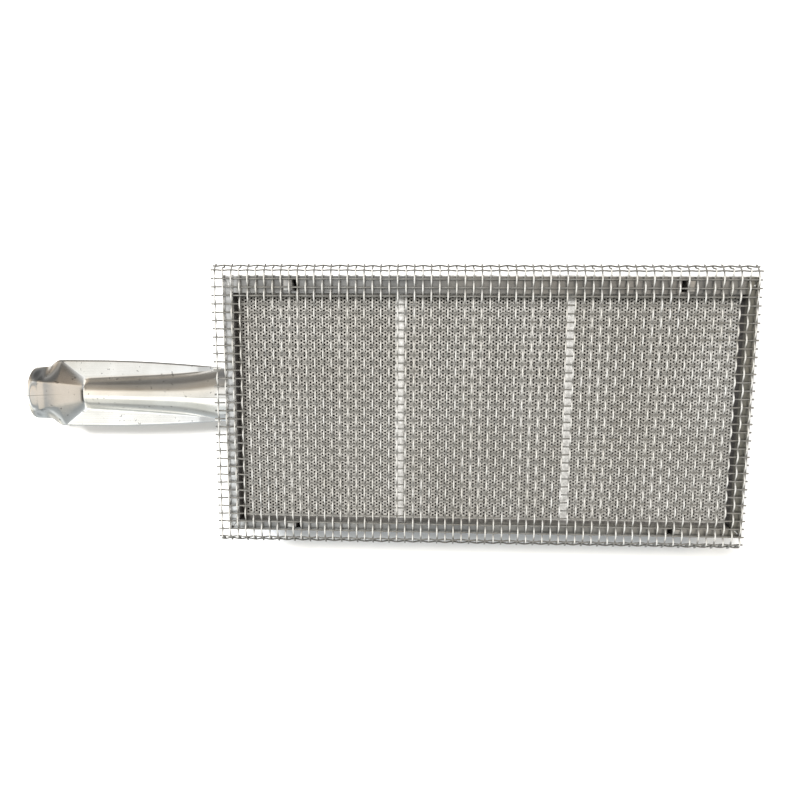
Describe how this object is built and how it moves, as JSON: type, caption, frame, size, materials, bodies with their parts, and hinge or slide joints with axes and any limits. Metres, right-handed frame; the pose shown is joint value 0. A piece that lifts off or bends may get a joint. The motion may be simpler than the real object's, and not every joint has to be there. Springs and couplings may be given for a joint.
{
  "type": "infrared gas burner assembly",
  "caption": "Flat infrared gas burner: perforated ceramic tiles in a sheet-steel housing with a woven wire screen and a pinched venturi inlet tube.",
  "frame": {"origin": "middle of the housing's flat base", "axes": "+X along the burner, away from the inlet; +Z out of the radiant face; +Y completes the right-handed frame"},
  "size_m": [0.426, 0.1592, 0.0649],
  "materials": {
    "housing_steel": "satin folded sheet, slightly heat-stained",
    "rim_steel": "dull grey folded sheet with oxide bloom",
    "ceramic_tile": "matt, fine-grained and perforated",
    "ceramic_fibre": "soft white fibre felt",
    "inner_steel": "plain mill finish",
    "venturi_steel": "polished stainless with press marks",
    "screen_wire": "bright drawn wire",
    "rivet_steel": "satin"
  },
  "bodies": {
    "root": {"housing_pan": "housing_steel", "rim_frame": "rim_steel", "tile_left": "ceramic_tile", "tile_middle": "ceramic_tile", "tile_right": "ceramic_tile", "joint_strip_left": "ceramic_fibre", "joint_strip_right": "ceramic_fibre", "gasket_left": "ceramic_fibre", "gasket_right": "ceramic_fibre", "gasket_front": "ceramic_fibre", "gasket_back": "ceramic_fibre", "tile_ledge": "inner_steel", "cross_bar_left": "inner_steel", "cross_bar_right": "inner_steel", "support_rib_left": "rim_steel", "support_rib_right": "rim_steel", "gas_baffle": "inner_steel", "baffle_bracket_left": "inner_steel", "baffle_bracket_right": "inner_steel", "baffle_rivets": "rivet_steel", "venturi_tube": "venturi_steel", "venturi_collar": "housing_steel", "collar_rivets": "rivet_steel", "screen_warp": "screen_wire", "screen_weft": "screen_wire"}
  },
  "joints": []
}
